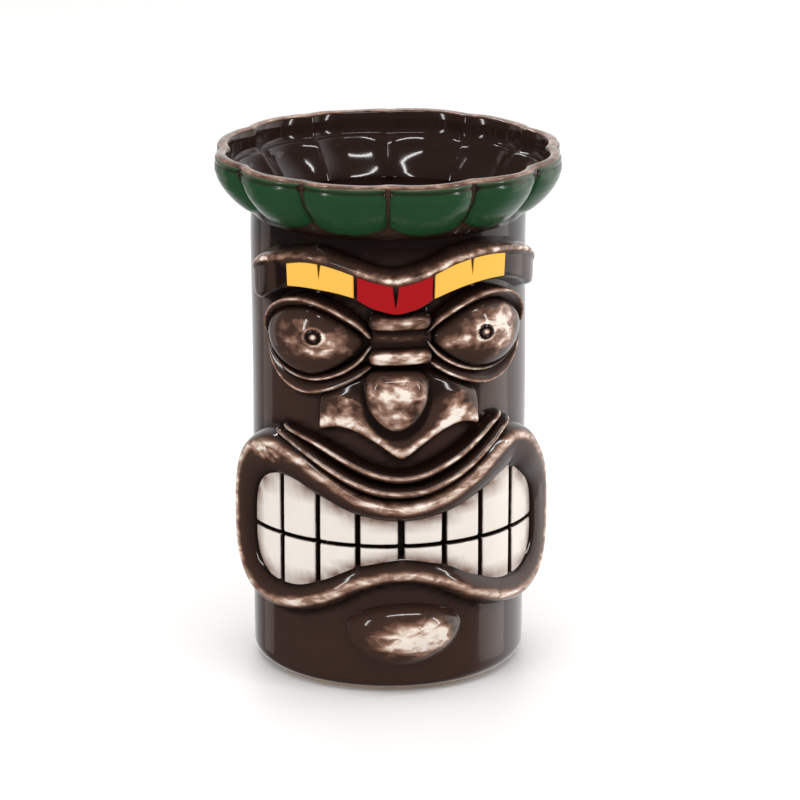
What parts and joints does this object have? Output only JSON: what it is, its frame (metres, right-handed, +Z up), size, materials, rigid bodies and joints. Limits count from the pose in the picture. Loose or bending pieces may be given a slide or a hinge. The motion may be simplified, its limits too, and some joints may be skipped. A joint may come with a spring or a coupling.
{
  "type": "tiki mug",
  "caption": "Straight round ceramic drinking mug with a grimacing tiki face in relief on the front and a flared crown of leaves round the mouth.",
  "frame": {"origin": "On the table, on the axis of the round wall: the middle of the underside of the foot ring.", "axes": "+Z is up out of the mug's mouth. -Y is the way that the face looks. +X is to the right of a person who looks at the face."},
  "size_m": [0.1014, 0.1014, 0.154],
  "materials": {
    "brown_glaze": "dark brown glaze, wiped thinner over the high places so that the pale clay shows in streaks, glossy",
    "green_glaze": "glossy leaf green",
    "yellow_glaze": "glossy warm yellow",
    "red_glaze": "glossy red",
    "white_glaze": "glossy off-white with brown drawn into the gaps",
    "bare_clay": "matt unglazed clay"
  },
  "bodies": {
    "root": {"brow_pad_centre": "red_glaze", "brow_pad_left": "yellow_glaze", "brow_pad_right": "yellow_glaze", "brow_ridge": "brown_glaze", "chin": "brown_glaze", "crown_leaf_01": "green_glaze", "crown_leaf_02": "green_glaze", "crown_leaf_03": "green_glaze", "crown_leaf_04": "green_glaze", "crown_leaf_05": "green_glaze", "crown_leaf_06": "green_glaze", "crown_leaf_07": "green_glaze", "crown_leaf_08": "green_glaze", "crown_leaf_09": "green_glaze", "crown_leaf_10": "green_glaze", "crown_leaf_11": "green_glaze", "crown_leaf_12": "green_glaze", "crown_wall": "brown_glaze", "eye_bag_left": "brown_glaze", "eye_bag_right": "brown_glaze", "eyeball_left": "brown_glaze", "eyeball_right": "brown_glaze", "foot_ring": "bare_clay", "lip_fold_lower": "brown_glaze", "lip_fold_upper": "brown_glaze", "lower_lid_left": "brown_glaze", "lower_lid_right": "brown_glaze", "lower_lip": "brown_glaze", "mug_body": "brown_glaze", "nose_bridge": "brown_glaze", "nose_roll_lower": "brown_glaze", "nose_roll_upper": "brown_glaze", "nose_tip": "brown_glaze", "nose_wings": "brown_glaze", "pupil_left": "brown_glaze", "pupil_right": "brown_glaze", "tooth_lower_left_1": "white_glaze", "tooth_lower_left_2": "white_glaze", "tooth_lower_left_3": "white_glaze", "tooth_lower_left_4": "white_glaze", "tooth_lower_right_1": "white_glaze", "tooth_lower_right_2": "white_glaze", "tooth_lower_right_3": "white_glaze", "tooth_lower_right_4": "white_glaze", "tooth_upper_left_1": "white_glaze", "tooth_upper_left_2": "white_glaze", "tooth_upper_left_3": "white_glaze", "tooth_upper_left_4": "white_glaze", "tooth_upper_right_1": "white_glaze", "tooth_upper_right_2": "white_glaze", "tooth_upper_right_3": "white_glaze", "tooth_upper_right_4": "white_glaze", "upper_lid_left": "brown_glaze", "upper_lid_right": "brown_glaze", "upper_lip": "brown_glaze"}
  },
  "joints": []
}
